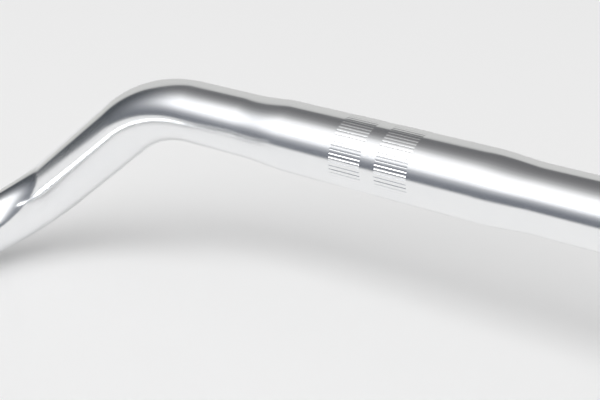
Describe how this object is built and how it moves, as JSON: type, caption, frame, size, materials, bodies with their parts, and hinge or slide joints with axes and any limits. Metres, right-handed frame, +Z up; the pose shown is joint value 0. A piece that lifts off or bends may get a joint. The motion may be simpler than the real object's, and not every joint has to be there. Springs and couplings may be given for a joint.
{
  "type": "bullhorn handlebar",
  "caption": "One-piece bent aluminium tube bicycle handlebar with a swollen, knurled clamp zone, a dropped corner each side and forward horns with upturned open ends.",
  "frame": {"origin": "middle of the clamp zone, on the tube's centre line", "axes": "+X along the centre section to one side, -Y forward along the horns, +Z up; the bar stands on its two horns"},
  "size_m": [0.4238, 0.2147, 0.0989],
  "materials": {
    "polished_aluminium": "bright polished and clear anodised"
  },
  "bodies": {
    "root": {"handlebar": "polished_aluminium"}
  },
  "joints": []
}
